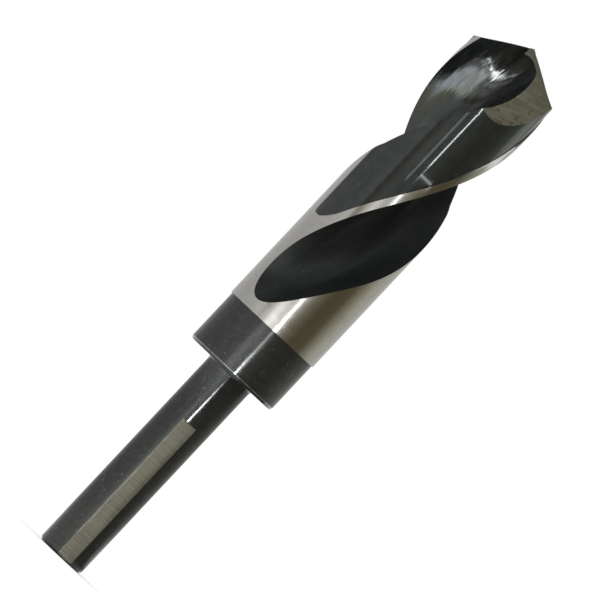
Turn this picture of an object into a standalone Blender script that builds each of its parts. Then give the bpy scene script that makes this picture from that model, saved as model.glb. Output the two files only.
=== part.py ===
"""Reduced-shank twist drill of 25.4 mm, ground from one bar: shank with three flats, collar, two helical flutes.

The drill stands on the end of its shank. The axis is +Z, the chisel edge is on top, and lengths are in metres.
"""

import math

import bmesh
import bpy
from mathutils.geometry import delaunay_2d_cdt

# Lengths along the axis
DRILL_LENGTH = 0.1588
SHANK_LENGTH = 0.05715
FLAT_LENGTH = 0.0422
COLLAR_LENGTH = 0.01385
PLAIN_LENGTH = 0.00285
RUNOUT_LENGTH = 0.0343
CLEARANCE_DELAY = 0.02335
CLEARANCE_RAMP = 0.0224
CLEARANCE_BEND = 0.0024
CLEARANCE_NOSE = 0.005
NOTCH_LENGTH = 0.0067

# Sizes across the axis
BODY_RADIUS = 0.0127
COLLAR_RADIUS = 0.0124
SHANK_RADIUS = 0.00625
FLAT_OFFSET = 0.00592
CLEARANCE_DEPTH = 0.00036
MARGIN_STEP = 0.00015
TIP_HALF_WEB = 0.0016
WEB_GROWTH = 0.0125

# Edges
SHANK_END_CHAMFER = 0.0007
COLLAR_CHAMFER = 0.0007
COLLAR_CHAMFER_DEPTH = 0.0004
COLLAR_FILLET = 0.0006

# Shank flats
FLAT_COUNT = 3
FLAT_TURN = math.radians(-79)

# Flutes and lands: two of each, half a turn apart
FLUTE_COUNT = 2
HELIX_LEAD = 0.126
FLUTE_TURN = math.radians(-145)
FLUTE_WIDTH = math.radians(94)
RUNOUT_LAG = math.radians(20)
LAG_LENGTH = 0.0183
MARGIN_WIDTH = math.radians(10.1)
CLEARANCE_REACH = math.radians(28.9)
CLEARANCE_EASE = math.radians(4)
NOSE_TURN = math.radians(12.4)

# Flute profile: a wall whose cut with the point is a straight lip, then a floor round to the heel.
# The pulls are shares of the body's radius, and the notch's foot is a share of the floor's length.
LIP_INNER_REACH = 0.01
FLOOR_PULL = 0.283
FLOOR_BEND = (0.00468, 0.00473)
HEEL_PULL = 1.176
HEEL_LEAN = math.radians(20.7)
NOTCH_FOOT = 0.477
NOTCH_START = 0.148

# Ground point: lips that fall and bow outwards, flanks relieved behind them, a small crown, steep heel faces
LIP_TOP = 0.1591
LIP_FALL = 0.48
LIP_BOW = 4.65
INNER_RELIEF = 0.519
OUTER_RELIEF = 0.19
CROWN_REACH = 0.0026
HEEL_SLOPE = 1.73
HEEL_BEHIND = math.radians(99.4)
HEEL_LIFT = 0.0027
HEEL_BLEND = 0.00025

# Fineness of the mesh
FLAT_STEPS = 4
ROUND_STEPS = 12
LIP_STEPS = 3
NOTCH_STEPS = 6
WALL_STEPS = 2
BACK_STEPS = 15
LAND_STEPS = 13
MARGIN_STEPS = 2
FILLET_STEPS = 3
ROW_STEP = 0.0022
RUNOUT_ROWS = 16
POINT_ROWS = 12
FLANK_GRID = 0.0018
SHORT_STEP = 0.0001
TOUCHING = 1e-6
HALVINGS = 40

# Places worked out from the sizes
COLLAR_END = SHANK_LENGTH + COLLAR_LENGTH
FLUTE_END = COLLAR_END + PLAIN_LENGTH
CLEARANCE_START = FLUTE_END + CLEARANCE_DELAY
HALF_TURN = 2 * math.pi / FLUTE_COUNT
LIP_REACH = math.sqrt(BODY_RADIUS**2 - TIP_HALF_WEB**2)
CHISEL_REACH = TIP_HALF_WEB * INNER_RELIEF / LIP_FALL
CROWN_HEIGHT = DRILL_LENGTH - LIP_TOP + TIP_HALF_WEB * INNER_RELIEF
FLUTE_STEPS = LIP_STEPS + NOTCH_STEPS + WALL_STEPS + BACK_STEPS


def limited(value, low=0.0, high=1.0):
    return min(max(value, low), high)


def eased(share):
    """Zero to one with level ends."""
    share = limited(share)
    return share * share * (3 - 2 * share)


def mixed(first, last, share):
    return first + (last - first) * share


def twist(z):
    """Turn of the helix at this height, counted from the end of the flutes."""
    return 2 * math.pi * (z - FLUTE_END) / HELIX_LEAD


def half_web(z):
    """Half the thickness of the web, which grows from the point to the shank."""
    return TIP_HALF_WEB + WEB_GROWTH * (DRILL_LENGTH - z)


def runout_share(z):
    """Zero where the milling cutter left the flute, one where the flute has its full depth."""
    return limited((z - FLUTE_END) / RUNOUT_LENGTH)


def flute_depth(z):
    """Share of the full depth, along the arc that the cutter leaves."""
    return 1 - (1 - runout_share(z)) ** 2


def flute_middle(z):
    """Angle of the first flute's middle. It lags behind the helix at its end."""
    lag = limited(1 - (z - FLUTE_END) / LAG_LENGTH) ** 2
    return FLUTE_TURN + twist(z) + RUNOUT_LAG * lag


def leading_angle(z):
    return flute_middle(z) - math.sqrt(flute_depth(z)) * FLUTE_WIDTH / 2


def heel_angle(z):
    """Angle of the heel that faces the leading edge across the flute."""
    return flute_middle(z) + math.sqrt(flute_depth(z)) * FLUTE_WIDTH / 2


def clearance_along(z):
    """Share of the clearance's depth: a straight ramp that bends level over a short stretch."""
    rise = (z - CLEARANCE_START) / CLEARANCE_RAMP
    bend = CLEARANCE_BEND / CLEARANCE_RAMP
    over = limited((rise - 1 + bend) / (2 * bend))
    return limited(rise, 0.0, 1 - bend) + 2 * bend * over - bend * over**2


def clearance_cut(angle, z):
    """How far the back of the first land is ground below the body's radius at this angle."""
    edge = leading_angle(CLEARANCE_START) - CLEARANCE_REACH
    return CLEARANCE_DEPTH * clearance_along(z) * eased((angle - edge) / CLEARANCE_EASE)


def margin_angle(z):
    """Angle at which the first land's clearance meets its margin. It rounds off at its lower end."""
    nose = limited((z - CLEARANCE_START) / CLEARANCE_NOSE)
    rounding = 1 - math.sqrt(1 - (1 - nose) ** 2)
    return leading_angle(z) - MARGIN_WIDTH - NOSE_TURN * rounding


def lip_height(reach):
    """Height of the lip at this distance outwards along it."""
    return LIP_TOP - reach * (LIP_FALL + reach * LIP_BOW)


def lip_wall(reach, z):
    """Point of the flute wall, in the flute's own frame, whose cut with the point is a straight lip."""
    web = half_web(z)
    full = math.sqrt(BODY_RADIUS**2 - web**2)
    drop = lip_height(reach) - lip_height(full)
    turn = math.atan2(web, reach) - math.atan2(web, full) - 2 * math.pi * drop / HELIX_LEAD
    radius = math.hypot(reach, web)
    return radius * math.cos(turn), radius * math.sin(turn)


def floor_curve(share, z, heel_radius):
    """Point of the flute's floor, from the inner end of the lip's wall to the heel of the next land."""
    start = lip_wall(LIP_INNER_REACH, z)
    before = lip_wall(LIP_INNER_REACH + SHORT_STEP, z)
    pull = FLOOR_PULL * BODY_RADIUS / math.dist(start, before)
    start_handle = (start[0] + (start[0] - before[0]) * pull, start[1] + (start[1] - before[1]) * pull)
    heel = (heel_radius * math.cos(FLUTE_WIDTH), heel_radius * math.sin(FLUTE_WIDTH))
    inward = FLUTE_WIDTH + math.pi - HEEL_LEAN
    heel_pull = HEEL_PULL * BODY_RADIUS
    heel_handle = (heel[0] + heel_pull * math.cos(inward), heel[1] + heel_pull * math.sin(inward))
    rest = 1 - share
    weights = (rest**4, 4 * share * rest**3, 6 * share**2 * rest**2, 4 * share**3 * rest, share**4)
    corners = (start, start_handle, FLOOR_BEND, heel_handle, heel)
    return tuple(sum(w * corner[axis] for w, corner in zip(weights, corners)) for axis in (0, 1))


def profile_point(step, z, heel_radius):
    """Point of the full flute's outline. Near the point, a notch thins the web and carries on the lip."""
    if step <= LIP_STEPS:
        full = math.sqrt(BODY_RADIUS**2 - half_web(z) ** 2)
        return lip_wall(mixed(full, LIP_INNER_REACH, step / LIP_STEPS), z)
    beyond = step - LIP_STEPS
    notched = NOTCH_STEPS + WALL_STEPS
    if beyond > notched:
        return floor_curve(mixed(NOTCH_FOOT, 1, (beyond - notched) / BACK_STEPS), z, heel_radius)
    plain = floor_curve(NOTCH_FOOT * beyond / notched, z, heel_radius)
    if beyond <= NOTCH_STEPS:
        thinned = lip_wall(mixed(LIP_INNER_REACH, CHISEL_REACH, beyond / NOTCH_STEPS), z)
    else:
        chisel_end = lip_wall(CHISEL_REACH, z)
        foot = floor_curve(NOTCH_FOOT, z, heel_radius)
        share = (beyond - NOTCH_STEPS) / WALL_STEPS
        thinned = (mixed(chisel_end[0], foot[0], share), mixed(chisel_end[1], foot[1], share))
    thinning = eased((z - NOTCH_START) / NOTCH_LENGTH)
    return mixed(plain[0], thinned[0], thinning), mixed(plain[1], thinned[1], thinning)


def flute_place(step, z):
    """Radius and angle of one point of the first flute, from its leading edge round to its heel."""
    depth = flute_depth(z)
    width = math.sqrt(depth)
    heel_radius = BODY_RADIUS - clearance_cut(heel_angle(z) - HALF_TURN, z)
    x, y = profile_point(step, z, heel_radius)
    turn = math.atan2(y, x)
    inside = limited(turn, 0, FLUTE_WIDTH)
    full_angle = leading_angle(z) + width * (inside + depth * (turn - inside))
    full_radius = mixed(BODY_RADIUS, math.hypot(x, y), depth)
    across = 2 * step / FLUTE_STEPS - 1
    bowl_angle = flute_middle(z) + across * width * FLUTE_WIDTH / 2
    bowl_radius = BODY_RADIUS - (BODY_RADIUS - half_web(z)) * depth * (1 - across**2)
    share = eased(runout_share(z))
    return mixed(bowl_radius, full_radius, share), mixed(bowl_angle, full_angle, share)


def land_place(step, z):
    """Radius and angle of one point of the first land, from its heel round to its leading edge."""
    heel = heel_angle(z) - HALF_TURN
    margin = margin_angle(z)
    if step <= LAND_STEPS:
        angle = mixed(heel, margin, step / LAND_STEPS)
        return BODY_RADIUS - clearance_cut(angle, z), angle
    start = margin + MARGIN_STEP / BODY_RADIUS
    return BODY_RADIUS, mixed(start, leading_angle(z), (step - LAND_STEPS - 1) / MARGIN_STEPS)


def column_points():
    """The functions that give each lengthwise line of the fluted body, once round the axis."""
    columns = []
    for index in range(FLUTE_COUNT):
        turn = index * HALF_TURN
        for step in range(FLUTE_STEPS):
            columns.append((flute_place, step, turn))
        for step in range(LAND_STEPS + 1 + MARGIN_STEPS):
            columns.append((land_place, step, turn + HALF_TURN))
    return columns


def column_at(column, z):
    place, step, turn = column
    radius, angle = place(step, z)
    return radius * math.cos(angle + turn), radius * math.sin(angle + turn)


def flank_height(x, y, lip_turn):
    """Height of the face ground behind one lip. The lip runs outwards along lip_turn, half a web ahead."""
    along = x * math.cos(lip_turn) + y * math.sin(lip_turn)
    behind = TIP_HALF_WEB - y * math.cos(lip_turn) + x * math.sin(lip_turn)
    relief = mixed(INNER_RELIEF, OUTER_RELIEF, limited(along / LIP_REACH))
    crown = CROWN_HEIGHT * limited(1 - math.hypot(x, y) / CROWN_REACH)
    near_lip = lip_height(along) - behind * relief + crown
    facing = lip_turn - HEEL_BEHIND
    outwards = x * math.cos(facing) + y * math.sin(facing)
    near_heel = DRILL_LENGTH + HEEL_LIFT - outwards * HEEL_SLOPE
    gap = abs(near_lip - near_heel)
    return min(near_lip, near_heel) - HEEL_BLEND * math.exp(-gap / HEEL_BLEND / 2)


def lip_direction():
    corner = leading_angle(lip_height(LIP_REACH))
    return corner - math.asin(TIP_HALF_WEB / BODY_RADIUS)


def point_height(x, y):
    """Height of the ground point over x, y: the lower of the two flanks."""
    turn = lip_direction()
    return min(flank_height(x, y, turn + index * HALF_TURN) for index in range(FLUTE_COUNT))


def column_top(column):
    """Height at which a lengthwise line runs out through the ground point."""
    low = FLUTE_END + RUNOUT_LENGTH
    high = low
    while high < point_height(*column_at(column, high)):
        low = high
        high += ROW_STEP / 4
    for _ in range(HALVINGS):
        middle = (low + high) / 2
        if middle < point_height(*column_at(column, middle)):
            low = middle
        else:
            high = middle
    return low


def body_rows(lowest_top):
    """Heights of the level rows, close together where the flutes and clearances begin."""
    rows = []
    for row in range(RUNOUT_ROWS + 1):
        rows.append(FLUTE_END + RUNOUT_LENGTH * (row / RUNOUT_ROWS) ** 2)
        if row and rows[-1] - rows[-2] > ROW_STEP:
            break
    last = lowest_top - ROW_STEP
    count = math.ceil((last - rows[-1]) / ROW_STEP)
    start = rows[-1]
    rows += [mixed(start, last, step / count) for step in range(1, count + 1)]
    return rows


def skin(bm, lower, upper, material):
    """Faces between two rings of as many points. Points that the rings share close up."""
    faces = []
    for index in range(len(lower)):
        after = (index + 1) % len(lower)
        corners = [lower[index], lower[after], upper[after], upper[index]]
        corners = list(dict.fromkeys(corners))
        if len(corners) > 2:
            faces.append(bm.faces.new(corners))
            faces[-1].material_index = material(index)
    return faces


def ring_angle(vert):
    return math.atan2(vert.co.y, vert.co.x) % (2 * math.pi)


def stitch(bm, inner, outer):
    """Triangles between two rings in one plane that have different numbers of points."""
    inner = sorted(inner, key=ring_angle)
    outer = sorted(outer, key=ring_angle)
    i = 0
    o = 0
    while i < len(inner) or o < len(outer):
        next_inner = inner[(i + 1) % len(inner)]
        next_outer = outer[(o + 1) % len(outer)]
        inner_goal = ring_angle(next_inner) + 2 * math.pi * ((i + 1) // len(inner))
        outer_goal = ring_angle(next_outer) + 2 * math.pi * ((o + 1) // len(outer))
        here = (inner[i % len(inner)], outer[o % len(outer)])
        if o >= len(outer) or (i < len(inner) and inner_goal < outer_goal):
            bm.faces.new((here[0], here[1], next_inner))
            i += 1
        else:
            bm.faces.new((here[0], here[1], next_outer))
            o += 1


def shank_angles():
    """Angles round the shank, with a point on both edges of each flat. True marks those on a flat."""
    half = math.acos(FLAT_OFFSET / SHANK_RADIUS)
    pitch = 2 * math.pi / FLAT_COUNT
    angles = []
    for flat in range(FLAT_COUNT):
        middle = FLAT_TURN + flat * pitch
        for step in range(FLAT_STEPS):
            angles.append((middle + half * (2 * step / FLAT_STEPS - 1), middle))
        for step in range(ROUND_STEPS):
            angles.append((middle + half + (pitch - 2 * half) * step / ROUND_STEPS, None))
    return angles


def turned_ring(bm, angles, z, radius, flats=False):
    ring = []
    for angle, middle in angles:
        reach = radius
        if flats and middle is not None:
            reach = min(radius, FLAT_OFFSET / math.cos(angle - middle))
        ring.append(bm.verts.new((reach * math.cos(angle), reach * math.sin(angle), z)))
    return ring


def shank_and_collar(bm):
    """Turned shank and collar, with the flats milled into the shank. Returns the collar's top ring."""
    angles = shank_angles()
    end_radius = SHANK_RADIUS - SHANK_END_CHAMFER
    to_flat = limited(FLAT_OFFSET - end_radius, 0.0, SHANK_END_CHAMFER)
    rings = [turned_ring(bm, angles, 0, end_radius)]
    bm.faces.new(rings[0])
    rings.append(turned_ring(bm, angles, to_flat, end_radius + to_flat, flats=True))
    rings.append(turned_ring(bm, angles, SHANK_END_CHAMFER, SHANK_RADIUS, flats=True))
    rings.append(turned_ring(bm, angles, FLAT_LENGTH, SHANK_RADIUS, flats=True))
    round_ring = turned_ring(bm, angles, FLAT_LENGTH, SHANK_RADIUS)
    for index, vert in enumerate(rings[-1]):
        if (vert.co - round_ring[index].co).length < TOUCHING:
            bm.verts.remove(round_ring[index])
            round_ring[index] = vert
    rings.append(round_ring)
    for step in range(FILLET_STEPS + 1):
        turn = math.pi / 2 * step / FILLET_STEPS
        height = SHANK_LENGTH - COLLAR_FILLET * (1 - math.sin(turn))
        radius = SHANK_RADIUS + COLLAR_FILLET * (1 - math.cos(turn))
        rings.append(turned_ring(bm, angles, height, radius))
    rings.append(turned_ring(bm, angles, SHANK_LENGTH, COLLAR_RADIUS - COLLAR_CHAMFER_DEPTH))
    rings.append(turned_ring(bm, angles, SHANK_LENGTH + COLLAR_CHAMFER, COLLAR_RADIUS))
    rings.append(turned_ring(bm, angles, COLLAR_END, COLLAR_RADIUS))
    for lower, upper in zip(rings, rings[1:]):
        skin(bm, lower, upper, lambda index: 0)
    return rings[-1]


def plain_ring(bm, columns):
    """The body's lowest ring, on the collar: its lines part from where the flutes end."""
    first = FLUTE_END + RUNOUT_LENGTH / RUNOUT_ROWS**2
    ring = []
    for column in columns:
        x, y = column_at(column, first)
        angle = math.atan2(y, x) - twist(first)
        ring.append(bm.verts.new((BODY_RADIUS * math.cos(angle), BODY_RADIUS * math.sin(angle), COLLAR_END)))
    return ring


def row_of(bm, columns, heights):
    """One ring of the fluted body. Where a flute has no width yet, its lines share one point."""
    ring = []
    for column, z in zip(columns, heights):
        x, y = column_at(column, z)
        if ring and math.dist((x, y, z), ring[-1].co) < TOUCHING / 10:
            ring.append(ring[-1])
        else:
            ring.append(bm.verts.new((x, y, z)))
    return ring


def ground_face(columns, lower_z):
    """Tells which lines bound the bright cylinder, where the land still has the body's full radius."""

    def material(index):
        place, step, _ = columns[index]
        if lower_z < FLUTE_END:
            return 1
        if place is flute_place:
            return 0
        return 1 if step > LAND_STEPS or lower_z < CLEARANCE_START else 0

    return material


def fluted_body(bm):
    """Plain cylinder, flutes and lands up to the ground point. Returns the lowest and the highest ring."""
    columns = column_points()
    tops = [column_top(column) for column in columns]
    rings = [plain_ring(bm, columns)]
    rows = body_rows(min(tops))
    for z in rows:
        rings.append(row_of(bm, columns, [z] * len(columns)))
    for row in range(1, POINT_ROWS + 1):
        heights = [mixed(rows[-1], top, row / POINT_ROWS) for top in tops]
        rings.append(row_of(bm, columns, heights))
    for lower, upper in zip(rings, rings[1:]):
        skin(bm, lower, upper, ground_face(columns, lower[0].co.z))
    return rings[0], rings[-1]


def inside_outline(x, y, outline):
    inside = False
    for index, (x0, y0) in enumerate(outline):
        x1, y1 = outline[index - 1]
        if (y0 > y) != (y1 > y) and x < (x1 - x0) * (y - y0) / (y1 - y0) + x0:
            inside = not inside
    return inside


def ground_point(bm, rim):
    """The two flanks over the outline of the fluted body, with the chisel edge between them."""
    outline = [(vert.co.x, vert.co.y) for vert in rim]
    half = FLUTE_STEPS + LAND_STEPS + 1 + MARGIN_STEPS
    chisel_ends = (LIP_STEPS + NOTCH_STEPS, LIP_STEPS + NOTCH_STEPS + half)
    places = list(outline) + [(0.0, 0.0)]
    centre = len(places) - 1
    edges = [(index, (index + 1) % len(outline)) for index in range(len(outline))]
    edges += [(end, centre) for end in chisel_ends]
    count = int(BODY_RADIUS / FLANK_GRID)
    for row in range(-count, count + 1):
        for column in range(-count, count + 1):
            x = (column + row % 2 / 2) * FLANK_GRID
            y = row * FLANK_GRID
            near = min(math.dist((x, y), other) for other in outline)
            from_chisel = math.hypot(x, y) > FLANK_GRID
            if from_chisel and near > FLANK_GRID / 2 and inside_outline(x, y, outline):
                places.append((x, y))
    flat_verts, _, triangles, origins, _, _ = delaunay_2d_cdt(places, edges, [], 1, 1e-9)
    verts = []
    for index, place in enumerate(flat_verts):
        source = origins[index][0]
        if source < len(rim):
            verts.append(rim[source])
        else:
            verts.append(bm.verts.new((place[0], place[1], point_height(place[0], place[1]))))
    for triangle in triangles:
        face = bm.faces.new([verts[index] for index in triangle])
        face.material_index = 1


def steel(name, colour, roughness):
    material = bpy.data.materials.new(name)
    material.use_nodes = True
    shader = material.node_tree.nodes["Principled BSDF"]
    shader.inputs["Base Color"].default_value = (*colour, 1)
    shader.inputs["Metallic"].default_value = 1
    shader.inputs["Roughness"].default_value = roughness
    return material


def drill_bit():
    bm = bmesh.new()
    collar_top = shank_and_collar(bm)
    body_foot, rim = fluted_body(bm)
    stitch(bm, collar_top, body_foot)
    ground_point(bm, rim)
    bmesh.ops.recalc_face_normals(bm, faces=bm.faces)
    mesh = bpy.data.meshes.new("drill_bit")
    bm.to_mesh(mesh)
    bm.free()
    mesh.materials.append(steel("black_oxide", (0.035, 0.037, 0.036), 0.3))
    mesh.materials.append(steel("ground_steel", (0.62, 0.6, 0.57), 0.25))
    mesh.shade_smooth()
    mesh.set_sharp_from_angle(angle=math.radians(28))
    drill = bpy.data.objects.new("drill_bit", mesh)
    bpy.context.scene.collection.objects.link(drill)
    return drill


for old in list(bpy.data.objects):
    bpy.data.objects.remove(old)
drill_bit()
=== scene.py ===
"""Looks of the reduced-shank twist drill: its fine surface, its finishes, the studio light and the camera."""

import math

import bmesh
import bpy
from mathutils import Matrix
from mathutils.geometry import delaunay_2d_cdt


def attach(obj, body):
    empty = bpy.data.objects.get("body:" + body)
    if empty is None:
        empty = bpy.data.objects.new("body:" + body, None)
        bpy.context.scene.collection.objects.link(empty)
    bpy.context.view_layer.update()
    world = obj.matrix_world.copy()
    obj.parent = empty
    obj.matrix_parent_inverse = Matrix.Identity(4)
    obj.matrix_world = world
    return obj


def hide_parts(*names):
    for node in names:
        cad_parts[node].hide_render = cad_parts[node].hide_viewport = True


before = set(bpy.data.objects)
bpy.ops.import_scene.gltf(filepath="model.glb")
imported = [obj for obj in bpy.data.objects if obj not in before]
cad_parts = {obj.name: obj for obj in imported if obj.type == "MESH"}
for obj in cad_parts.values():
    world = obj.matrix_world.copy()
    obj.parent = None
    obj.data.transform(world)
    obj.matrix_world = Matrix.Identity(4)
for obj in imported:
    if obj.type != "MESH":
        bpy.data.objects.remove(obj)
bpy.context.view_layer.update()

# The drill's own sizes, in metres and radians
DRILL_LENGTH = 0.1588
SHANK_LENGTH = 0.05715
FLAT_LENGTH = 0.0422
COLLAR_END = 0.071
FLUTE_END = 0.07385
RUNOUT_LENGTH = 0.0343
CLEARANCE_START = 0.0972
CLEARANCE_RAMP = 0.0224
CLEARANCE_BEND = 0.0024
CLEARANCE_NOSE = 0.005
BODY_RADIUS = 0.0127
COLLAR_RADIUS = 0.0124
SHANK_RADIUS = 0.00625
FLAT_OFFSET = 0.00592
CLEARANCE_DEPTH = 0.00036
MARGIN_STEP = 0.00015
TIP_HALF_WEB = 0.0016
WEB_GROWTH = 0.0125
SHANK_END_CHAMFER = 0.0007
COLLAR_CHAMFER = 0.0007
COLLAR_CHAMFER_DEPTH = 0.0004
COLLAR_FILLET = 0.0006
FLAT_END_SLOPE = 0.0002
FLAT_COUNT = 3
FLAT_TURN = math.radians(-79)
FLUTE_COUNT = 2
HELIX_LEAD = 0.126
FLUTE_TURN = math.radians(-145)
FLUTE_WIDTH = math.radians(94)
RUNOUT_LAG = math.radians(20)
LAG_LENGTH = 0.0183
MARGIN_WIDTH = math.radians(10.1)
CLEARANCE_REACH = math.radians(28.9)
CLEARANCE_EASE = math.radians(4)
NOSE_TURN = math.radians(12.4)
LIP_INNER_REACH = 0.01
FLOOR_PULL = 0.283
FLOOR_BEND = (0.00468, 0.00473)
HEEL_PULL = 1.176
HEEL_LEAN = math.radians(20.7)
NOTCH_FOOT = 0.477
NOTCH_START = 0.148
NOTCH_LENGTH = 0.0067
LIP_TOP = 0.1591
LIP_FALL = 0.48
LIP_BOW = 4.65
INNER_RELIEF = 0.519
OUTER_RELIEF = 0.19
CROWN_REACH = 0.0026
HEEL_SLOPE = 1.73
HEEL_BEHIND = math.radians(99.4)
HEEL_LIFT = 0.0027
HEEL_BLEND = 0.00025

# Fineness of the surface
FLAT_STEPS = 8
ROUND_STEPS = 56
LIP_STEPS = 12
NOTCH_STEPS = 22
WALL_STEPS = 5
BACK_STEPS = 30
LAND_STEPS = 44
MARGIN_STEPS = 6
EDGE_STEPS = 4
ROW_STEP = 0.0009
RUNOUT_ROWS = 70
POINT_ROWS = 40
FLANK_GRID = 0.0005
SHORT_STEP = 0.0001
SAME_POINT = 1e-7
TOP_HALVINGS = 30
SHARP_EDGE = math.radians(24)

# Settings of delaunay_2d_cdt
INSIDE_EDGES = 1
MERGE_DISTANCE = 1e-9

HALF_TURN = 2 * math.pi / FLUTE_COUNT
LIP_REACH = math.sqrt(BODY_RADIUS**2 - TIP_HALF_WEB**2)
CHISEL_REACH = TIP_HALF_WEB * INNER_RELIEF / LIP_FALL
CROWN_HEIGHT = DRILL_LENGTH - LIP_TOP + TIP_HALF_WEB * INNER_RELIEF
FLUTE_STEPS = LIP_STEPS + NOTCH_STEPS + WALL_STEPS + BACK_STEPS

# Material slots of the drill
FLUTE, LAND, MARGIN, TURNED, FLAT, FLANK = range(6)


def limited(value, low=0.0, high=1.0):
    return min(max(value, low), high)


def eased(share):
    share = limited(share)
    return share * share * (3 - 2 * share)


def mixed(first, last, share):
    return first + (last - first) * share


def twist(z):
    return 2 * math.pi * (z - FLUTE_END) / HELIX_LEAD


def half_web(z):
    return TIP_HALF_WEB + WEB_GROWTH * (DRILL_LENGTH - z)


def runout_share(z):
    return limited((z - FLUTE_END) / RUNOUT_LENGTH)


def flute_depth(z):
    return 1 - (1 - runout_share(z)) ** 2


def flute_middle(z):
    lag = limited(1 - (z - FLUTE_END) / LAG_LENGTH) ** 2
    return FLUTE_TURN + twist(z) + RUNOUT_LAG * lag


def leading_angle(z):
    return flute_middle(z) - math.sqrt(flute_depth(z)) * FLUTE_WIDTH / 2


def heel_angle(z):
    return flute_middle(z) + math.sqrt(flute_depth(z)) * FLUTE_WIDTH / 2


def clearance_along(z):
    """Share of the clearance's depth: a straight ramp that bends level over a short stretch."""
    rise = (z - CLEARANCE_START) / CLEARANCE_RAMP
    bend = CLEARANCE_BEND / CLEARANCE_RAMP
    over = limited((rise - 1 + bend) / (2 * bend))
    return limited(rise, 0.0, 1 - bend) + 2 * bend * over - bend * over**2


def clearance_cut(angle, z):
    edge = leading_angle(CLEARANCE_START) - CLEARANCE_REACH
    return CLEARANCE_DEPTH * clearance_along(z) * eased((angle - edge) / CLEARANCE_EASE)


def margin_angle(z):
    nose = limited((z - CLEARANCE_START) / CLEARANCE_NOSE)
    rounding = 1 - math.sqrt(1 - (1 - nose) ** 2)
    return leading_angle(z) - MARGIN_WIDTH - NOSE_TURN * rounding


def lip_height(reach):
    return LIP_TOP - reach * (LIP_FALL + reach * LIP_BOW)


def lip_wall(reach, z):
    """Point of the flute wall, in the flute's own frame, whose cut with the point is a straight lip."""
    web = half_web(z)
    full = math.sqrt(BODY_RADIUS**2 - web**2)
    drop = lip_height(reach) - lip_height(full)
    turn = math.atan2(web, reach) - math.atan2(web, full) - 2 * math.pi * drop / HELIX_LEAD
    radius = math.hypot(reach, web)
    return radius * math.cos(turn), radius * math.sin(turn)


def floor_curve(share, z, heel_radius):
    """Point of the flute's floor, from the inner end of the lip's wall to the heel of the next land."""
    start = lip_wall(LIP_INNER_REACH, z)
    before = lip_wall(LIP_INNER_REACH + SHORT_STEP, z)
    pull = FLOOR_PULL * BODY_RADIUS / math.dist(start, before)
    start_handle = (start[0] + (start[0] - before[0]) * pull, start[1] + (start[1] - before[1]) * pull)
    heel = (heel_radius * math.cos(FLUTE_WIDTH), heel_radius * math.sin(FLUTE_WIDTH))
    inward = FLUTE_WIDTH + math.pi - HEEL_LEAN
    heel_pull = HEEL_PULL * BODY_RADIUS
    heel_handle = (heel[0] + heel_pull * math.cos(inward), heel[1] + heel_pull * math.sin(inward))
    rest = 1 - share
    weights = (rest**4, 4 * share * rest**3, 6 * share**2 * rest**2, 4 * share**3 * rest, share**4)
    corners = (start, start_handle, FLOOR_BEND, heel_handle, heel)
    return tuple(sum(w * corner[axis] for w, corner in zip(weights, corners)) for axis in (0, 1))


def profile_point(step, z, heel_radius):
    """Point of the full flute's outline. Near the point, a notch thins the web and carries on the lip."""
    if step <= LIP_STEPS:
        full = math.sqrt(BODY_RADIUS**2 - half_web(z) ** 2)
        return lip_wall(mixed(full, LIP_INNER_REACH, step / LIP_STEPS), z)
    beyond = step - LIP_STEPS
    notched = NOTCH_STEPS + WALL_STEPS
    if beyond > notched:
        return floor_curve(mixed(NOTCH_FOOT, 1, (beyond - notched) / BACK_STEPS), z, heel_radius)
    plain = floor_curve(NOTCH_FOOT * beyond / notched, z, heel_radius)
    if beyond <= NOTCH_STEPS:
        thinned = lip_wall(mixed(LIP_INNER_REACH, CHISEL_REACH, beyond / NOTCH_STEPS), z)
    else:
        chisel_end = lip_wall(CHISEL_REACH, z)
        foot = floor_curve(NOTCH_FOOT, z, heel_radius)
        share = (beyond - NOTCH_STEPS) / WALL_STEPS
        thinned = (mixed(chisel_end[0], foot[0], share), mixed(chisel_end[1], foot[1], share))
    thinning = eased((z - NOTCH_START) / NOTCH_LENGTH)
    return mixed(plain[0], thinned[0], thinning), mixed(plain[1], thinned[1], thinning)


def flute_place(step, z):
    """Radius and angle of one point of the first flute, from its leading edge round to its heel."""
    depth = flute_depth(z)
    width = math.sqrt(depth)
    heel_radius = BODY_RADIUS - clearance_cut(heel_angle(z) - HALF_TURN, z)
    x, y = profile_point(step, z, heel_radius)
    turn = math.atan2(y, x)
    inside = limited(turn, 0, FLUTE_WIDTH)
    full_angle = leading_angle(z) + width * (inside + depth * (turn - inside))
    full_radius = mixed(BODY_RADIUS, math.hypot(x, y), depth)
    across = 2 * step / FLUTE_STEPS - 1
    bowl_angle = flute_middle(z) + across * width * FLUTE_WIDTH / 2
    bowl_radius = BODY_RADIUS - (BODY_RADIUS - half_web(z)) * depth * (1 - across**2)
    share = eased(runout_share(z))
    return mixed(bowl_radius, full_radius, share), mixed(bowl_angle, full_angle, share)


def land_place(step, z):
    """Radius and angle of one point of the first land, from its heel round to its leading edge."""
    heel = heel_angle(z) - HALF_TURN
    margin = margin_angle(z)
    if step <= LAND_STEPS:
        angle = mixed(heel, margin, step / LAND_STEPS)
        return BODY_RADIUS - clearance_cut(angle, z), angle
    start = margin + MARGIN_STEP / BODY_RADIUS
    return BODY_RADIUS, mixed(start, leading_angle(z), (step - LAND_STEPS - 1) / MARGIN_STEPS)


def column_points():
    columns = []
    for index in range(FLUTE_COUNT):
        turn = index * HALF_TURN
        columns += [(flute_place, step, turn) for step in range(FLUTE_STEPS)]
        columns += [(land_place, step, turn + HALF_TURN) for step in range(LAND_STEPS + 1 + MARGIN_STEPS)]
    return columns


def column_at(column, z):
    place, step, turn = column
    radius, angle = place(step, z)
    return radius * math.cos(angle + turn), radius * math.sin(angle + turn)


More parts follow.
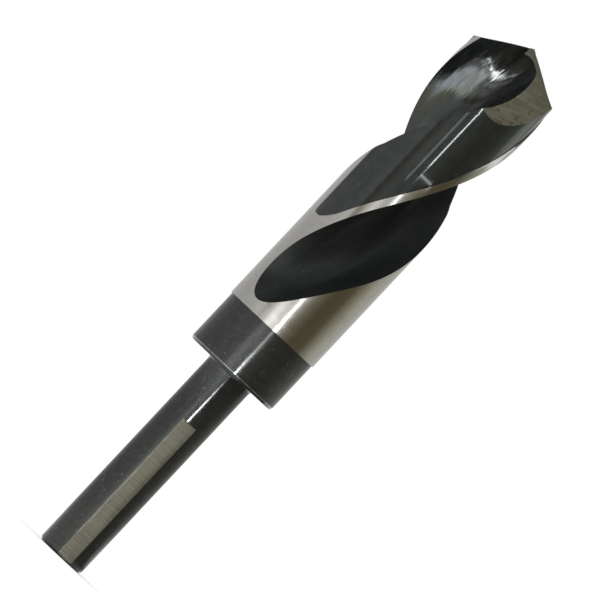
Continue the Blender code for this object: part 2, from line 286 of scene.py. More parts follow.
def flank_height(x, y, lip_turn):
    along = x * math.cos(lip_turn) + y * math.sin(lip_turn)
    behind = TIP_HALF_WEB - y * math.cos(lip_turn) + x * math.sin(lip_turn)
    relief = mixed(INNER_RELIEF, OUTER_RELIEF, limited(along / LIP_REACH))
    crown = CROWN_HEIGHT * limited(1 - math.hypot(x, y) / CROWN_REACH)
    near_lip = lip_height(along) - behind * relief + crown
    facing = lip_turn - HEEL_BEHIND
    outwards = x * math.cos(facing) + y * math.sin(facing)
    near_heel = DRILL_LENGTH + HEEL_LIFT - outwards * HEEL_SLOPE
    gap = abs(near_lip - near_heel)
    return min(near_lip, near_heel) - HEEL_BLEND * math.exp(-gap / HEEL_BLEND / 2)


LIP_CORNER = lip_height(LIP_REACH)
LIP_TURN = leading_angle(LIP_CORNER) - math.asin(TIP_HALF_WEB / BODY_RADIUS)


def point_height(x, y):
    return min(flank_height(x, y, LIP_TURN + index * HALF_TURN) for index in range(FLUTE_COUNT))


def column_top(column):
    """Height at which a lengthwise line runs out through the ground point."""
    low = FLUTE_END + RUNOUT_LENGTH
    high = low
    while high < point_height(*column_at(column, high)):
        low = high
        high += ROW_STEP
    for _ in range(TOP_HALVINGS):
        middle = (low + high) / 2
        if middle < point_height(*column_at(column, middle)):
            low = middle
        else:
            high = middle
    return low


def body_rows(lowest_top):
    rows = [FLUTE_END]
    for row in range(1, RUNOUT_ROWS + 1):
        rows.append(FLUTE_END + RUNOUT_LENGTH * (row / RUNOUT_ROWS) ** 2)
        if rows[-1] - rows[-2] > ROW_STEP:
            break
    start = rows[-1]
    last = lowest_top - ROW_STEP
    count = math.ceil((last - start) / ROW_STEP)
    return rows + [mixed(start, last, step / count) for step in range(1, count + 1)]


def skin(bm, lower, upper, material):
    """Faces between two rings of as many points. Points that the rings share close up."""
    for index in range(len(lower)):
        after = (index + 1) % len(lower)
        corners = list(dict.fromkeys([lower[index], lower[after], upper[after], upper[index]]))
        if len(corners) > 2:
            bm.faces.new(corners).material_index = material(index)


def ring_angle(vert):
    return math.atan2(vert.co.y, vert.co.x) % (2 * math.pi)


def stitch(bm, inner, outer):
    """Triangles between two rings in one plane that have different numbers of points."""
    inner = sorted(inner, key=ring_angle)
    outer = sorted(outer, key=ring_angle)
    i = 0
    o = 0
    while i < len(inner) or o < len(outer):
        next_inner = inner[(i + 1) % len(inner)]
        next_outer = outer[(o + 1) % len(outer)]
        inner_goal = ring_angle(next_inner) + 2 * math.pi * ((i + 1) // len(inner))
        outer_goal = ring_angle(next_outer) + 2 * math.pi * ((o + 1) // len(outer))
        here = (inner[i % len(inner)], outer[o % len(outer)])
        if o >= len(outer) or (i < len(inner) and inner_goal < outer_goal):
            face = bm.faces.new((here[0], here[1], next_inner))
            i += 1
        else:
            face = bm.faces.new((here[0], here[1], next_outer))
            o += 1
        face.material_index = MARGIN


def shank_angles():
    """Angles round the shank. Those on a flat come with the flat's own angle."""
    half = math.acos(FLAT_OFFSET / SHANK_RADIUS)
    pitch = 2 * math.pi / FLAT_COUNT
    angles = []
    for flat in range(FLAT_COUNT):
        middle = FLAT_TURN + flat * pitch
        angles += [(middle + half * (2 * step / FLAT_STEPS - 1), middle) for step in range(FLAT_STEPS)]
        arc = pitch - 2 * half
        angles += [(middle + half + arc * step / ROUND_STEPS, None) for step in range(ROUND_STEPS)]
    return angles


def turned_ring(bm, angles, z, radius, flats=False):
    ring = []
    for angle, middle in angles:
        reach = radius
        if flats and middle is not None:
            reach = min(radius, FLAT_OFFSET / math.cos(angle - middle))
        ring.append(bm.verts.new((reach * math.cos(angle), reach * math.sin(angle), z)))
    return ring


def shank_and_collar(bm):
    """Turned shank and collar, with the flats milled into the shank. Returns the collar's top ring."""
    angles = shank_angles()
    end_radius = SHANK_RADIUS - SHANK_END_CHAMFER
    to_flat = limited(FLAT_OFFSET - end_radius, 0.0, SHANK_END_CHAMFER)
    rings = [turned_ring(bm, angles, 0, end_radius)]
    bm.faces.new(rings[0]).material_index = TURNED
    rings.append(turned_ring(bm, angles, to_flat, end_radius + to_flat, flats=True))
    rings.append(turned_ring(bm, angles, SHANK_END_CHAMFER, SHANK_RADIUS, flats=True))
    first_flat_ring = len(rings) - 1
    rings.append(turned_ring(bm, angles, FLAT_LENGTH, SHANK_RADIUS, flats=True))
    rings.append(turned_ring(bm, angles, FLAT_LENGTH + FLAT_END_SLOPE, SHANK_RADIUS))
    for step in range(EDGE_STEPS + 1):
        turn = math.pi / 2 * step / EDGE_STEPS
        height = SHANK_LENGTH - COLLAR_FILLET * (1 - math.sin(turn))
        radius = SHANK_RADIUS + COLLAR_FILLET * (1 - math.cos(turn))
        rings.append(turned_ring(bm, angles, height, radius))
    rings.append(turned_ring(bm, angles, SHANK_LENGTH, COLLAR_RADIUS - COLLAR_CHAMFER_DEPTH))
    rings.append(turned_ring(bm, angles, SHANK_LENGTH + COLLAR_CHAMFER, COLLAR_RADIUS))
    rings.append(turned_ring(bm, angles, COLLAR_END, COLLAR_RADIUS))
    for row, (lower, upper) in enumerate(zip(rings, rings[1:])):
        on_flats = first_flat_ring - 1 <= row <= first_flat_ring + 1
        skin(bm, lower, upper, lambda index: FLAT if on_flats and angles[index][1] is not None else TURNED)
    return rings[-1]


def plain_ring(bm, columns, z):
    """A level ring below the flutes: its lines part from where the flutes end."""
    first = FLUTE_END + RUNOUT_LENGTH / RUNOUT_ROWS**2
    ring = []
    for column in columns:
        x, y = column_at(column, first)
        angle = math.atan2(y, x) - twist(first)
        ring.append(bm.verts.new((BODY_RADIUS * math.cos(angle), BODY_RADIUS * math.sin(angle), z)))
    return ring


def row_of(bm, columns, heights):
    """One ring of the fluted body. Where a flute has no width yet, its lines share one point."""
    ring = []
    for column, z in zip(columns, heights):
        x, y = column_at(column, z)
        if ring and math.dist((x, y, z), ring[-1].co) < SAME_POINT:
            ring.append(ring[-1])
        else:
            ring.append(bm.verts.new((x, y, z)))
    return ring


def body_material(columns, lower_z):
    def material(index):
        place, step, _ = columns[index]
        if lower_z < FLUTE_END:
            return MARGIN
        if place is flute_place:
            return FLUTE
        return MARGIN if step >= LAND_STEPS else LAND

    return material


def fluted_body(bm):
    columns = column_points()
    tops = [column_top(column) for column in columns]
    rings = [plain_ring(bm, columns, COLLAR_END)]
    rows = body_rows(min(tops))
    for z in rows:
        rings.append(row_of(bm, columns, [z] * len(columns)))
    for row in range(1, POINT_ROWS + 1):
        heights = [mixed(rows[-1], top, row / POINT_ROWS) for top in tops]
        rings.append(row_of(bm, columns, heights))
    for lower, upper in zip(rings, rings[1:]):
        skin(bm, lower, upper, body_material(columns, lower[0].co.z))
    return rings[0], rings[-1]


def inside_outline(x, y, outline):
    inside = False
    for index, (x0, y0) in enumerate(outline):
        x1, y1 = outline[index - 1]
        if (y0 > y) != (y1 > y) and x < (x1 - x0) * (y - y0) / (y1 - y0) + x0:
            inside = not inside
    return inside


def ground_point(bm, rim):
    """The two flanks over the outline of the fluted body, with the chisel edge between them."""
    outline = [(vert.co.x, vert.co.y) for vert in rim]
    half = FLUTE_STEPS + LAND_STEPS + 1 + MARGIN_STEPS
    chisel_ends = (LIP_STEPS + NOTCH_STEPS, LIP_STEPS + NOTCH_STEPS + half)
    places = list(outline) + [(0.0, 0.0)]
    centre = len(places) - 1
    edges = [(index, (index + 1) % len(outline)) for index in range(len(outline))]
    edges += [(end, centre) for end in chisel_ends]
    count = int(BODY_RADIUS / FLANK_GRID)
    for row in range(-count, count + 1):
        for column in range(-count, count + 1):
            x = (column + row % 2 / 2) * FLANK_GRID
            y = row * FLANK_GRID
            if math.hypot(x, y) > BODY_RADIUS or math.hypot(x, y) < FLANK_GRID:
                continue
            near = min(math.dist((x, y), other) for other in outline)
            if near > FLANK_GRID / 2 and inside_outline(x, y, outline):
                places.append((x, y))
    net = delaunay_2d_cdt(places, edges, [], INSIDE_EDGES, MERGE_DISTANCE)
    flat_verts, _, triangles, origins, _, _ = net
    verts = []
    for index, place in enumerate(flat_verts):
        source = origins[index][0]
        if source < len(rim):
            verts.append(rim[source])
        else:
            verts.append(bm.verts.new((place[0], place[1], point_height(place[0], place[1]))))
    for triangle in triangles:
        bm.faces.new([verts[index] for index in triangle]).material_index = FLANK


# Shader nodes

def add(tree, kind, inputs=None, **settings):
    """A new node. An input may be a value, or the socket that feeds it."""
    node = tree.nodes.new("ShaderNode" + kind)
    for name, value in settings.items():
        setattr(node, name, value)
    for key, value in (inputs or {}).items():
        if isinstance(value, bpy.types.NodeSocket):
            tree.links.new(value, node.inputs[key])
        else:
            node.inputs[key].default_value = value
    return node


def maths(tree, operation, first, second=0.0):
    return add(tree, "Math", {0: first, 1: second}, operation=operation).outputs[0]


def span(tree, value, low, high, to_low=0.0, to_high=1.0):
    """Maps a value from one span onto another, and holds it at the ends."""
    inputs = {"Value": value, "From Min": low, "From Max": high, "To Min": to_low, "To Max": to_high}
    return add(tree, "MapRange", inputs).outputs["Result"]


def between(tree, share, first, second, kind="RGBA", key="Color"):
    """Mixes two colours, or with kind FLOAT and key Float two numbers."""
    node = add(tree, "Mix", {"Factor": share}, data_type=kind)
    for side, value in (("A", first), ("B", second)):
        socket = next(item for item in node.inputs if item.identifier == f"{side}_{key}")
        if isinstance(value, bpy.types.NodeSocket):
            tree.links.new(value, socket)
        else:
            socket.default_value = (*value, 1)
    return next(item for item in node.outputs if item.identifier == f"Result_{key}")


def noise(tree, vector, scale, detail=2.0, roughness=0.5):
    inputs = {"Vector": vector, "Scale": scale, "Detail": detail, "Roughness": roughness}
    return add(tree, "TexNoise", inputs).outputs["Fac"]


def stretched(tree, vector, scale):
    return add(tree, "Mapping", {"Vector": vector, "Scale": scale}).outputs["Vector"]


def millimetres(tree):
    place = add(tree, "TexCoord").outputs["Object"]
    return add(tree, "VectorMath", {0: place, 3: 1000.0}, operation="SCALE").outputs["Vector"]


def height_of(tree, place):
    return add(tree, "SeparateXYZ", {0: place}).outputs["Z"]


def turned_about_z(tree, place, angle):
    inputs = {"Vector": place, "Angle": angle}
    return add(tree, "VectorRotate", inputs, rotation_type="Z_AXIS").outputs["Vector"]


def untwisted(tree, place):
    """The place turned back by the helix, so that a flute or land runs straight along z."""
    turn = maths(tree, "MULTIPLY", height_of(tree, place), -2 * math.pi / (HELIX_LEAD * 1000))
    return turned_about_z(tree, place, turn)


def metal(name, colour, roughness, height, distance, metallic=1.0, specular=0.5):
    """A material whose colour, roughness and bump height come from functions of the tree and the place."""
    material = bpy.data.materials.new(name)
    material.use_nodes = True
    tree = material.node_tree
    shader = tree.nodes["Principled BSDF"]
    place = millimetres(tree)
    if callable(metallic):
        tree.links.new(metallic(tree, place), shader.inputs["Metallic"])
    else:
        shader.inputs["Metallic"].default_value = metallic
    shader.inputs["Specular IOR Level"].default_value = specular
    tree.links.new(colour(tree, place), shader.inputs["Base Color"])
    tree.links.new(roughness(tree, place), shader.inputs["Roughness"])
    bump = add(tree, "Bump", {"Height": height(tree, place), "Distance": distance, "Strength": 1.0})
    tree.links.new(bump.outputs["Normal"], shader.inputs["Normal"])
    return material


# Colours of the finishes: two where the colour varies
OXIDE = (0.044, 0.05, 0.048), (0.06, 0.067, 0.064)
FLUTE_OXIDE = (0.026, 0.03, 0.029), (0.038, 0.043, 0.041)
# Lighter streaks in the flute's oxide towards the point
FLUTE_LIGHT_STREAK = (0.052, 0.056, 0.055)
FLUTE_SPECK = (0.11, 0.12, 0.11)
SHANK_OXIDE = (0.036, 0.039, 0.038), (0.054, 0.058, 0.056)
COLLAR_OXIDE = (0.042, 0.045, 0.044), (0.062, 0.067, 0.065)
# Lighter oxide for worn specks, and for a painted highlight along the collar's chamfer edge
WORN_OXIDE_AND_EDGE_HIGHLIGHT = (0.3, 0.3, 0.29)
BRIGHT_STEEL = (0.57, 0.56, 0.54), (0.62, 0.61, 0.585)
STAIN = (0.47, 0.43, 0.36)
MILLED_STEEL = (0.1, 0.095, 0.068), (0.17, 0.165, 0.128)
GROUND_STEEL = (0.1, 0.099, 0.066), (0.155, 0.151, 0.105)
RUST = (0.085, 0.05, 0.028)
OXIDE_METALLIC = 0.75

# Places of the finishes, in millimetres and radians
LIGHT_STREAKS_FROM = 132.0
LIGHT_STREAKS_TO = 140.0
DULL_FROM = 105.0
DULL_TO = 140.0
DULL_ROUGHNESS = 0.35
CLEARED_ALONG = 1.6
CLEARED_ACROSS = math.radians(5)
CLEARED_LEAD = math.radians(3.4)
HEEL_STRIP_START = math.radians(108.4)
RUST_FROM = 6.0
RUST_TO = 12.7


def helical(tree, place, across, along):
    """Places in the flute's own frame, scaled for a noise that is drawn out along the flute."""
    return stretched(tree, untwisted(tree, place), (across, across, along))


def specks(tree, place):
    """A few small places where the oxide has come off."""
    return span(tree, noise(tree, place, 1.3, 5.0, 0.65), 0.65, 0.7)


def flute_colour(tree, place):
    patches = span(tree, noise(tree, helical(tree, place, 0.3, 0.06), 1.0, 3.0), 0.35, 0.7)
    oxide = between(tree, patches, *FLUTE_OXIDE)
    # Lighter streaks along the flute, which come in between 132 and 140 mm up and stay to the point
    near_point = span(tree, height_of(tree, place), LIGHT_STREAKS_FROM, LIGHT_STREAKS_TO)
    light_streaks = span(tree, noise(tree, helical(tree, place, 1.0, 0.35), 1.0, 4.0), 0.42, 0.62)
    streaked = between(tree, maths(tree, "MULTIPLY", light_streaks, near_point), oxide, FLUTE_LIGHT_STREAK)
    return between(tree, specks(tree, place), streaked, FLUTE_SPECK)


def flute_roughness(tree, place):
    dull = span(tree, height_of(tree, place), DULL_FROM, DULL_TO, DULL_ROUGHNESS, 0.0)
    streaks = noise(tree, helical(tree, place, 2.5, 0.3), 1.0, 3.0)
    return maths(tree, "ADD", span(tree, streaks, 0.3, 0.75, 0.1, 0.18), dull)


def flute_height(tree, place):
    return noise(tree, helical(tree, place, 1.6, 0.12), 1.0, 2.0)


def ring_lines(tree, place):
    """Fine lines round the axis, as grinding and turning leave them."""
    return noise(tree, stretched(tree, place, (0.06, 0.06, 8.0)), 1.0, 3.0, 0.6)


def cleared_share(tree, place):
    """One where the back of a land was cleared and stays black, zero where it is ground at full radius."""
    parts = add(tree, "SeparateXYZ", {0: place}).outputs
    start = CLEARANCE_START * 1000
    ramp = CLEARANCE_RAMP * 1000
    along = span(tree, parts["Z"], start, start + CLEARED_ALONG)
    edge = leading_angle(CLEARANCE_START) - CLEARANCE_REACH - CLEARED_LEAD
    turn = maths(tree, "ARCTAN2", parts["Y"], parts["X"])
    wrapped = {0: maths(tree, "SUBTRACT", turn, edge), 1: HALF_TURN, 2: 0.0}
    beyond = add(tree, "Math", wrapped, operation="WRAP").outputs[0]
    across = span(tree, beyond, 0.0, CLEARED_ACROSS)
    on_heel = maths(tree, "GREATER_THAN", beyond, HEEL_STRIP_START)
    across = maths(tree, "MULTIPLY", across, maths(tree, "SUBTRACT", 1.0, on_heel))
    whole = maths(tree, "GREATER_THAN", parts["Z"], start + ramp)
    cut = maths(tree, "MULTIPLY", along, maths(tree, "MAXIMUM", across, whole))
    ragged = span(tree, noise(tree, place, 2.5, 3.0), 0.0, 1.0, -0.02, 0.02)
    return span(tree, maths(tree, "ADD", cut, ragged), 0.07, 0.12)


def oxide_colour(tree, place):
    patches = span(tree, noise(tree, place, 0.5, 4.0), 0.35, 0.7)
    return between(tree, patches, *OXIDE)


def oxide_roughness(tree, place):
    return span(tree, noise(tree, place, 2.0, 3.0), 0.3, 0.7, 0.06, 0.085)


def bright_colour(tree, place):
    lines = span(tree, ring_lines(tree, place), 0.3, 0.7)
    steel = between(tree, lines, *BRIGHT_STEEL)
    stain = span(tree, noise(tree, place, 0.35, 4.0), 0.5, 0.75, 0.0, 0.3)
    return between(tree, stain, steel, STAIN)


def bright_roughness(tree, place):
    return span(tree, ring_lines(tree, place), 0.3, 0.7, 0.14, 0.19)


def land_colour(tree, place):
    return between(tree, cleared_share(tree, place), bright_colour(tree, place), oxide_colour(tree, place))


def land_roughness(tree, place):
    share = cleared_share(tree, place)
    return between(tree, share, bright_roughness(tree, place), oxide_roughness(tree, place), "FLOAT", "Float")


def land_metallic(tree, place):
    return span(tree, cleared_share(tree, place), 0.0, 1.0, 1.0, OXIDE_METALLIC)


def land_height(tree, place):
    return noise(tree, place, 0.8, 3.0)


def wear_and_edge_highlight_share(tree, place):
    """Where the oxide is lighter: a painted highlight along the collar's chamfer edge, and a few worn specks and
    short scratches.
    """
    from_edge = maths(tree, "SUBTRACT", height_of(tree, place), (SHANK_LENGTH + COLLAR_CHAMFER) * 1000)
    # Painted highlight: a thin, broken, lighter line along the collar's chamfer edge
    edge = span(tree, maths(tree, "ABSOLUTE", from_edge), 0.05, 0.15, 1.0, 0.0)
    highlight_patches = span(tree, noise(tree, place, 0.5, 4.0), 0.3, 0.5)
    return maths(tree, "MAXIMUM", maths(tree, "MULTIPLY", edge, highlight_patches), specks(tree, place))


def turned_colour(tree, place):
    patches = span(tree, noise(tree, place, 0.9, 4.0, 0.6), 0.35, 0.7)
    shank = between(tree, patches, *SHANK_OXIDE)
    collar = between(tree, patches, *COLLAR_OXIDE)
    on_collar = maths(tree, "GREATER_THAN", height_of(tree, place), SHANK_LENGTH * 1000)
    # Shank or collar oxide, lightened by worn specks and by the painted highlight on the chamfer edge
    return between(tree, wear_and_edge_highlight_share(tree, place), between(tree, on_collar, shank, collar), WORN_OXIDE_AND_EDGE_HIGHLIGHT)


def turned_roughness(tree, place):
    return span(tree, noise(tree, place, 1.6, 4.0), 0.3, 0.7, 0.11, 0.17)


def turned_height(tree, place):
    return maths(tree, "ADD", ring_lines(tree, place), noise(tree, place, 6.0, 3.0))


def cross_lines(tree, place):
    """Lines across the axis on the milled flats."""
    return noise(tree, stretched(tree, place, (0.12, 0.12, 5.0)), 1.0, 4.0, 0.65)


def flat_colour(tree, place):
    lines = span(tree, cross_lines(tree, place), 0.35, 0.65)
    return between(tree, lines, *MILLED_STEEL)


def flat_roughness(tree, place):
    return span(tree, cross_lines(tree, place), 0.3, 0.7, 0.36, 0.5)


def flank_lines(tree, place):
    """Grinding lines that run along the lips."""
    along_lip = turned_about_z(tree, place, -LIP_TURN)
    return noise(tree, stretched(tree, along_lip, (0.2, 2.6, 0.2)), 1.0, 4.0, 0.6)


def flank_colour(tree, place):
    lines = span(tree, flank_lines(tree, place), 0.35, 0.65)
    clean = between(tree, lines, *GROUND_STEEL)
    level = add(tree, "VectorMath", {0: place, 1: (1.0, 1.0, 0.0)}, operation="MULTIPLY").outputs["Vector"]
    outwards = add(tree, "VectorMath", {0: level}, operation="LENGTH").outputs["Value"]
    spread = span(tree, outwards, RUST_FROM, RUST_TO, 0.0, 0.14)
    rust = span(tree, maths(tree, "ADD", noise(tree, place, 0.8, 5.0, 0.7), spread), 0.66, 0.76)
    return between(tree, rust, clean, RUST)


def flank_roughness(tree, place):
    return span(tree, flank_lines(tree, place), 0.3, 0.7, 0.34, 0.48)


def drill_materials():
    return [
        metal("flute_oxide", flute_colour, flute_roughness, flute_height, 0.00003, OXIDE_METALLIC, 1.0),
        metal("land_back", land_colour, land_roughness, land_height, 0.0000006, land_metallic, 1.0),
        metal("ground_cylinder", bright_colour, bright_roughness, ring_lines, 0.0000002),
        metal("turned_oxide", turned_colour, turned_roughness, turned_height, 0.0000004, OXIDE_METALLIC, 1.0),
        metal("milled_flat", flat_colour, flat_roughness, cross_lines, 0.000004, 0.7),
        metal("ground_flank", flank_colour, flank_roughness, flank_lines, 0.000006, 0.4),
    ]


def drill():
    bm = bmesh.new()
    collar_top = shank_and_collar(bm)
    body_foot, rim = fluted_body(bm)
    stitch(bm, collar_top, body_foot)
    ground_point(bm, rim)
    bmesh.ops.recalc_face_normals(bm, faces=bm.faces)
    mesh = bpy.data.meshes.new("drill_surface")
    bm.to_mesh(mesh)
    bm.free()
    for material in drill_materials():
        mesh.materials.append(material)
    mesh.shade_smooth()
    mesh.set_sharp_from_angle(angle=SHARP_EDGE)
    piece = bpy.data.objects.new("drill_surface", mesh)
    bpy.context.scene.collection.objects.link(piece)
    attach(piece, "root")
    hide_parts("drill_bit")


# Studio

def plain_material(name):
    material = bpy.data.materials.new(name)
    material.use_nodes = True
    material.node_tree.nodes.clear()
    return material, material.node_tree


def seen_directly(tree):
    """One for rays from the camera, from gloss and through glass."""
    path = add(tree, "LightPath")
    first = maths(tree, "MAXIMUM", path.outputs["Is Camera Ray"], path.outputs["Is Glossy Ray"])
    return maths(tree, "MAXIMUM", first, path.outputs["Is Transmission Ray"])


def emit(tree, colour, strength):
    glow = add(tree, "Emission", {"Color": colour, "Strength": strength})
    output = add(tree, "OutputMaterial")
    tree.links.new(glow.outputs[0], output.inputs["Surface"])


def circle(radius, count, z):
    turns = [2 * math.pi * index / count for index in range(count)]
    return [(radius * math.cos(turn), radius * math.sin(turn), z) for turn in turns]


def stage_object(name, verts, faces, material):
    mesh = bpy.data.meshes.new(name)
    mesh.from_pydata(verts, [], faces)
    mesh.materials.append(material)
    stage = bpy.data.objects.new(name, mesh)
    bpy.context.scene.collection.objects.link(stage)
    return stage


def gloss_only(stage):
    stage.visible_camera = False
    stage.visible_diffuse = False
    stage.visible_shadow = False


FLOOR_RADIUS = 0.5
FLOOR_SIDES = 96
FLOOR_WHITE_FROM = 0.007
FLOOR_WHITE_TO = 0.017


def studio_floor():
    """Round pale floor under the shank end. It keeps the shadow near the drill and is white further out."""
    verts = circle(FLOOR_RADIUS, FLOOR_SIDES, 0)
    material, tree = plain_material("studio_floor")
    place = add(tree, "TexCoord").outputs["Object"]
    distance = add(tree, "VectorMath", {0: place}, operation="LENGTH").outputs["Value"]
    away = span(tree, distance, FLOOR_WHITE_FROM, FLOOR_WHITE_TO)
    white = maths(tree, "MULTIPLY", away, seen_directly(tree))
    paper = add(tree, "BsdfDiffuse", {"Color": (0.95, 0.95, 0.95, 1)})
    glow = add(tree, "Emission", {"Color": (1, 1, 1, 1), "Strength": 1.0})
    shader = add(tree, "MixShader", {0: white, 1: paper.outputs[0], 2: glow.outputs[0]})
    output = add(tree, "OutputMaterial")
    tree.links.new(shader.outputs[0], output.inputs["Surface"])
    stage_object("studio_floor", verts, [list(range(FLOOR_SIDES))], material)


WALL_RADIUS = 1.6
WALL_SIDES = 96
WALL_FOOT = -0.5
WALL_TOP = 1.8
CEILING_SIDES = 48

# Between these heights the wall dims to this share of its colours
DIM_FROM = 0.2
DIM_TO = 0.45
CEILING_GREY = 0.2

# Between these heights the wall loses a share of its colours, but only near one bearing. Angles are in radians
SHADE_FROM = 0.1
SHADE_TO = 0.135
SHADE_SHARE = 0.5
SHADE_BEARING = math.radians(-8)
SHADE_HALF_WIDTH = 0.4
SHADE_HALF_END = 0.5

# Bearing in degrees, and colour
WALL_STOPS = (
    (-180, (0.6, 0.6, 0.6)),
    (-110, (0.5, 0.5, 0.49)),
    (-70, (0.55, 0.55, 0.54)),
    (-47, (0.68, 0.68, 0.66)),
    (-43, (0.27, 0.25, 0.2)),
    (-37, (0.25, 0.22, 0.17)),
    (-27, (1.0, 0.97, 0.93)),
    (-19, (1.0, 0.97, 0.93)),
    (-12, (0.75, 0.74, 0.7)),
    (2, (0.8, 0.79, 0.76)),
    (11, (0.68, 0.67, 0.63)),
    (17, (0.33, 0.33, 0.27)),
    (27, (0.19, 0.17, 0.12)),
    (46, (0.1, 0.085, 0.05)),
    (74, (0.11, 0.095, 0.055)),
    (98, (0.32, 0.32, 0.25)),
    (115, (0.48, 0.48, 0.42)),
    (180, (0.6, 0.6, 0.6)),
)


def studio_wall():
    """Round wall that only gloss sees: light and dark panels, by their bearing from the camera's side."""
    foot = circle(WALL_RADIUS, WALL_SIDES, WALL_FOOT)
    top = circle(WALL_RADIUS, WALL_SIDES, WALL_TOP)
    verts = [vert for pair in zip(foot, top) for vert in pair]
    faces = []
    for index in range(WALL_SIDES):
        low = 2 * index
        after = 2 * ((index + 1) % WALL_SIDES)
        faces.append((low, after, after + 1, low + 1))
    material, tree = plain_material("studio_wall")
    parts = add(tree, "SeparateXYZ", {0: add(tree, "TexCoord").outputs["Object"]})
    forwards = maths(tree, "MULTIPLY", parts.outputs["Y"], -1.0)
    bearing = maths(tree, "ARCTAN2", parts.outputs["X"], forwards)
    share = span(tree, bearing, -math.pi, math.pi)
    ramp = add(tree, "ValToRGB", {0: share})
    stops = ramp.color_ramp.elements
    while len(stops) < len(WALL_STOPS):
        stops.new(0.5)
    for stop, (degrees, colour) in zip(stops, WALL_STOPS):
        stop.position = (degrees + 180) / 360
        stop.color = (*colour, 1)
    dimming = span(tree, parts.outputs["Z"], DIM_FROM, DIM_TO, 1.0, CEILING_GREY)
    away = maths(tree, "ABSOLUTE", maths(tree, "SUBTRACT", bearing, SHADE_BEARING))
    near = span(tree, away, SHADE_HALF_WIDTH, SHADE_HALF_END, 1.0, 0.0)
    above = span(tree, parts.outputs["Z"], SHADE_FROM, SHADE_TO, 0.0, SHADE_SHARE)
    kept = maths(tree, "SUBTRACT", 1.0, maths(tree, "MULTIPLY", near, above))
    emit(tree, ramp.outputs["Color"], maths(tree, "MULTIPLY", dimming, kept))
    gloss_only(stage_object("studio_wall", verts, faces, material))


def studio_ceiling():
    verts = circle(WALL_RADIUS, CEILING_SIDES, WALL_TOP)
    material, tree = plain_material("studio_ceiling")
    emit(tree, (1, 1, 1, 1), CEILING_GREY / 2)
    gloss_only(stage_object("studio_ceiling", verts, [list(range(CEILING_SIDES))], material))


# Name, height, colour and corners
FLOOR_CARDS = (
    ("dark_card", 0.0006, (0.1, 0.09, 0.07), ((0.02, -0.5), (0.5, -0.5), (0.5, 0.2), (0.15, 0.06), (0.02, 0.05))),
    ("olive_card", 0.002, (1.2, 1.14, 0.74), ((-0.3, -0.085), (-0.02, -0.085), (-0.02, -0.05), (-0.3, -0.02))),
)


def floor_cards():
    """Flat cards just above the floor, that only gloss sees."""
    for name, height, colour, corners in FLOOR_CARDS:
        verts = [(x, y, height) for x, y in corners]
        material, tree = plain_material(name)
        emit(tree, (*colour, 1), 1.0)
        gloss_only(stage_object(name, verts, [tuple(range(len(verts)))], material))


WORLD_LEVEL = 1.04


def studio_world():
    world = bpy.data.worlds.new("studio_world")
    bpy.context.scene.world = world
    world.use_nodes = True
    tree = world.node_tree
    tree.nodes.clear()
    strength = span(tree, seen_directly(tree), 0, 1, WORLD_LEVEL, 1.0)
    background = add(tree, "Background", {"Color": (1, 1, 1, 1), "Strength": strength})
    output = add(tree, "OutputWorld")
    tree.links.new(background.outputs[0], output.inputs["Surface"])


def area_light(name, place, target, width, height, radiance, spread, colour=(1, 1, 1)):
    """A flat lamp that faces the target. A smaller spread, in degrees, keeps its light near straight ahead."""
    data = bpy.data.lights.new(name, "AREA")
    data.shape = "RECTANGLE"
    data.color = colour
    data.size = width
    data.size_y = height
    data.energy = radiance * width * height * math.pi
    if spread < 180:
        half = math.radians(spread / 2)
        data.spread = 2 * half
        data.energy *= 1 - half / math.tan(half)
    lamp = bpy.data.objects.new(name, data)
    bpy.context.scene.collection.objects.link(lamp)
    lamp.location = place
    away = Matrix.Translation(place).translation - Matrix.Translation(target).translation
    lamp.rotation_euler = away.to_track_quat("Z", "Y").to_euler()
    lamp.visible_camera = False
    return lamp


def upright_lamp(name, reach, bearing, degrees, foot, top, radiance, spread):
    """A lamp beside the drill: its bearing from the camera's side and width in degrees, the rest in metres."""
    turn = math.radians(bearing)
    middle = (foot + top) / 2
    place = (reach * math.sin(turn), -reach * math.cos(turn), middle)
    area_light(name, place, (0, 0, middle), reach * math.radians(degrees), top - foot, radiance, spread)


COOL = (0.9, 0.97, 1.06)
NEUTRAL = (0.98, 1.0, 0.98)
OLIVE = (1.0, 0.98, 0.72)
LOW_LAMP_HEIGHT = 0.006
LOW_LAMP_SPREAD = 160

# Place, width, height, radiance and colour
LOW_LAMPS = (
    (-0.175, -0.1025, 0.03, 0.035, 4.5, OLIVE),
    (-0.085, -0.1025, 0.15, 0.035, 3.9, COOL),
    (-0.205, -0.15, 0.03, 0.06, 5.0, OLIVE),
    (-0.115, -0.15, 0.15, 0.06, 4.0, COOL),
    (-0.225, -0.23, 0.06, 0.12, 4.6, OLIVE),
    (-0.125, -0.24, 0.14, 0.12, 4.8, NEUTRAL),
    (-0.24, -0.34, 0.07, 0.08, 5.8, OLIVE),
    (-0.115, -0.35, 0.17, 0.1, 6.0, NEUTRAL),
    (-0.01, -0.37, 0.06, 0.06, 8.0, NEUTRAL),
    (0.03, -0.43, 0.07, 0.06, 8.5, NEUTRAL),
    (0.07, -0.49, 0.06, 0.05, 9.0, NEUTRAL),
    (-0.08, -0.1, 0.03, 0.03, 1.5, COOL),
    (-0.15, -0.16, 0.05, 0.03, 1.8, COOL),
    (-0.047, -0.285, 0.06, 0.07, 7.0, NEUTRAL),
    (-0.148, -0.315, 0.06, 0.06, 6.5, NEUTRAL),
)


def low_lamps():
    """Patchy light from near the floor, that only gloss sees, up into the flute at the point."""
    for index, (x, y, width, height, radiance, colour) in enumerate(LOW_LAMPS):
        name = f"low_lamp_{index}"
        place = (x, y, LOW_LAMP_HEIGHT)
        lamp = area_light(name, place, (x, y, 1), width, height, radiance, LOW_LAMP_SPREAD, colour)
        lamp.visible_diffuse = False


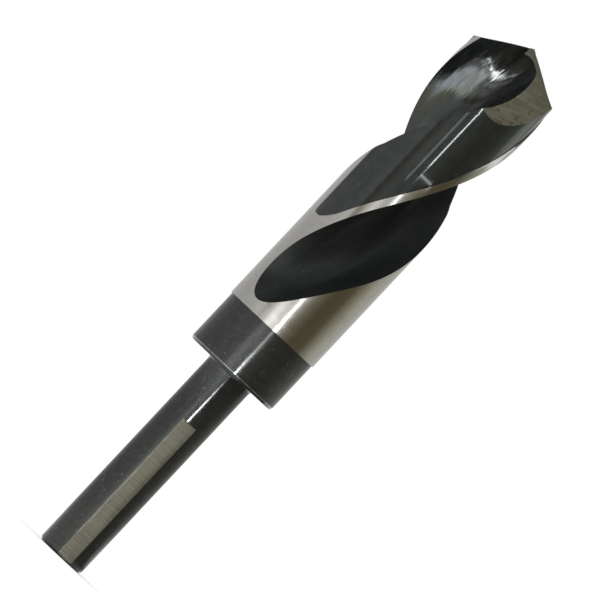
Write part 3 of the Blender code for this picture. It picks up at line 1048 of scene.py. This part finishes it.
# Name, reach, bearing and width in degrees, foot, top, radiance and spread
UPRIGHT_LAMPS = (
    ("shank_tube", 0.2, 6.2, 3.0, -0.02, 0.057, 96.0, 20),
    ("body_tube", 0.2, 4.9, 3.6, 0.0585, 0.116, 6.2, 20),
    ("tip_tube", 0.14, 6.6, 2.2, 0.1238, 0.1495, 20.0, 8),
    ("tip_arm", 0.04, 18.6, 27.3, 0.1205, 0.1207, 12.0, 180),
    ("shank_reflector", 0.2, -13, 24, -0.02, 0.074, 1.1, 40),
    ("shank_fill", 0.2, -37, 13, -0.02, 0.074, 0.5, 40),
    ("body_reflector", 1.4, -17, 12, 0.08, 0.11, 0.9, 180),
    ("tip_reflector", 0.06, -9.5, 4.0, 0.1187, 0.16, 1.4, 180),
    ("tip_side", 0.06, 112, 24, 0.132, 0.17, 0.5, 180),
    ("tip_tail", 0.14, 6.6, 2.2, 0.1495, 0.168, 7.0, 180),
)

# Name, place, target, width, height, radiance and spread
AREA_LAMPS = (
    ("burst_lamp", (0.0033, -0.0318, 0.1427), (-0.0008, -0.0028, 0.149), 0.008, 0.01, 26.0, 18),
    ("step_lamp", (0.0, -0.16, 0.4), (0, 0, 0.145), 0.14, 0.14, 0.8, 180),
    ("top_lamp", (-0.5, -0.3, 1.5), (0, 0, 0.08), 0.9, 0.9, 0.6, 180),
)


def studio_lights():
    for lamp in UPRIGHT_LAMPS:
        upright_lamp(*lamp)
    for lamp in AREA_LAMPS:
        area_light(*lamp)


CAMERA_PLACE = (0.00007, -4.0, 0.0803)
CAMERA_ROLL = math.radians(43.14)
CAMERA_LENS = 1049.6


def camera():
    """A far camera, level with the drill's middle and rolled as in the photograph."""
    data = bpy.data.cameras.new("camera")
    data.sensor_width = 36
    data.lens = CAMERA_LENS
    data.clip_end = 20
    view = bpy.data.objects.new("camera", data)
    bpy.context.scene.collection.objects.link(view)
    right = (math.cos(CAMERA_ROLL), 0, math.sin(CAMERA_ROLL))
    up = (-math.sin(CAMERA_ROLL), 0, math.cos(CAMERA_ROLL))
    back = (0, -1, 0)
    axes = Matrix((right, up, back)).transposed().to_4x4()
    view.matrix_world = Matrix.Translation(CAMERA_PLACE) @ axes
    bpy.context.scene.camera = view


drill()
studio_floor()
studio_wall()
studio_ceiling()
floor_cards()
studio_world()
studio_lights()
low_lamps()
camera()
bpy.context.scene.view_settings.view_transform = "Standard"
